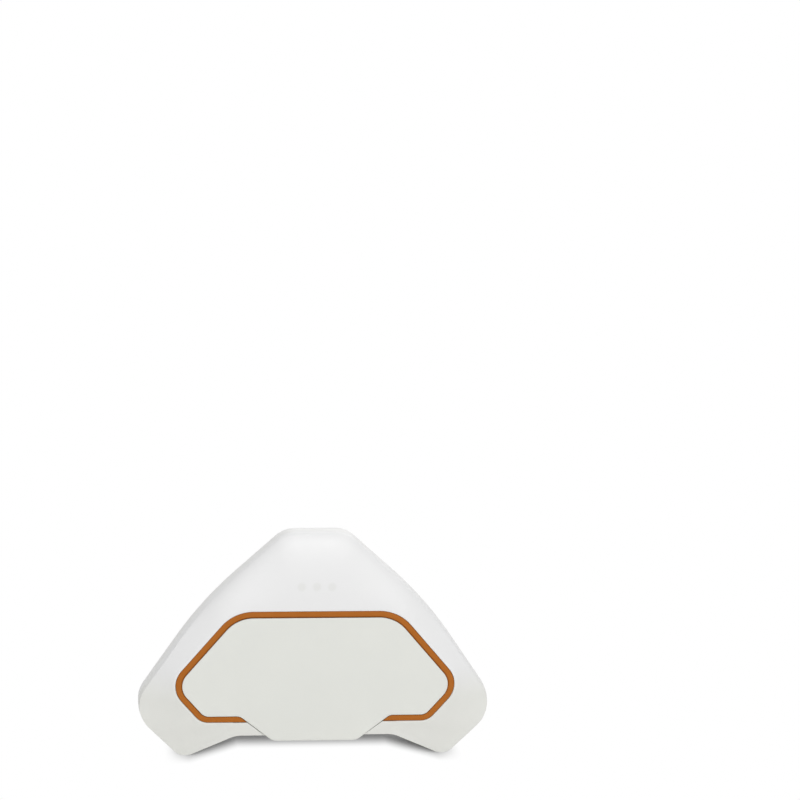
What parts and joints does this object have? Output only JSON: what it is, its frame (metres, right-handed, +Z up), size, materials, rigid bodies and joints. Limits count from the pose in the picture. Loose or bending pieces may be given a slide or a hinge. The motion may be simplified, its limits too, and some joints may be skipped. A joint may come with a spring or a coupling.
{
  "type": "holter monitor",
  "caption": "Chest-worn heart recorder with a sprung start button, sliding memory card and a hinged bay cover with a pull tab, sealed all round, and snap sockets on its back.",
  "frame": {"origin": "on the surface that the recorder stands on, under the middle of its box", "axes": "+X across the width, to the right as seen from the front; +Y from the front cover to the back; +Z up, towards the top lobe"},
  "size_m": [0.1398, 0.021, 0.0903],
  "materials": {
    "white_case": "fine satin",
    "white_cover": "fine matt",
    "orange_seal": "matt",
    "black_rubber": "matt",
    "tray_grey": "fine matt",
    "cell_jacket": "shrink film",
    "card_black": "fine matt",
    "plated_steel": "nickel plated",
    "snap_plating": "polished",
    "board_green": "solder mask",
    "chip_black": "moulded",
    "clear_guide": "clear",
    "led_white": "moulded",
    "lead_jacket": "smooth",
    "label_grey": "satin film"
  },
  "bodies": {
    "case": {"front_shell": "white_case", "rear_shell": "white_case", "casing_seal": "black_rubber", "stripe_seal": "orange_seal", "hinge_pin": "plated_steel", "battery_tray": "tray_grey", "battery_cell": "cell_jacket", "battery_spring": "plated_steel", "contact_negative": "plated_steel", "contact_positive": "plated_steel", "card_socket": "plated_steel", "usb_socket": "plated_steel", "main_board": "board_green", "tact_switch": "plated_steel", "light_pipe_left": "clear_guide", "light_pipe_centre": "clear_guide", "light_pipe_right": "clear_guide", "indicator_led_left": "led_white", "indicator_led_centre": "led_white", "indicator_led_right": "led_white", "indicator_board": "board_green", "indicator_cable": "lead_jacket", "snap_socket_top": "snap_plating", "snap_socket_left": "snap_plating", "snap_socket_right": "snap_plating", "electrode_lead_top": "lead_jacket", "electrode_lead_left": "lead_jacket", "electrode_lead_right": "lead_jacket", "case_screw_1": "plated_steel", "case_screw_2": "plated_steel", "case_screw_3": "plated_steel", "case_screw_4": "plated_steel", "board_screw_left": "plated_steel", "board_screw_right": "plated_steel", "processor_chip": "chip_black", "amplifier_chip": "chip_black", "radio_can": "plated_steel", "clock_crystal": "plated_steel", "buzzer": "chip_black", "backup_cell": "plated_steel", "supply_capacitor": "plated_steel", "type_label": "label_grey"},
    "cover": {"bay_cover": "white_cover"},
    "start_button": {"start_button": "orange_seal", "switch_plunger": "chip_black"},
    "memory_card": {"memory_card": "card_black"}
  },
  "joints": [
    {"name": "cover_hinge", "type": "hinge", "parent": "case", "child": "cover", "pos_m": [0, -0.0065, 0.0626], "axis": [-1, 0, 0], "range_deg": [0, 95]},
    {"name": "memory_card_slide", "type": "slide", "parent": "case", "child": "memory_card", "axis": [-1, 0, 0], "range_m": [0, 0.0115]},
    {"name": "start_button_press", "type": "slide", "parent": "case", "child": "start_button", "axis": [0, 1, 0], "range_m": [0, 0.0005], "stiffness_N_per_m": 1600}
  ]
}
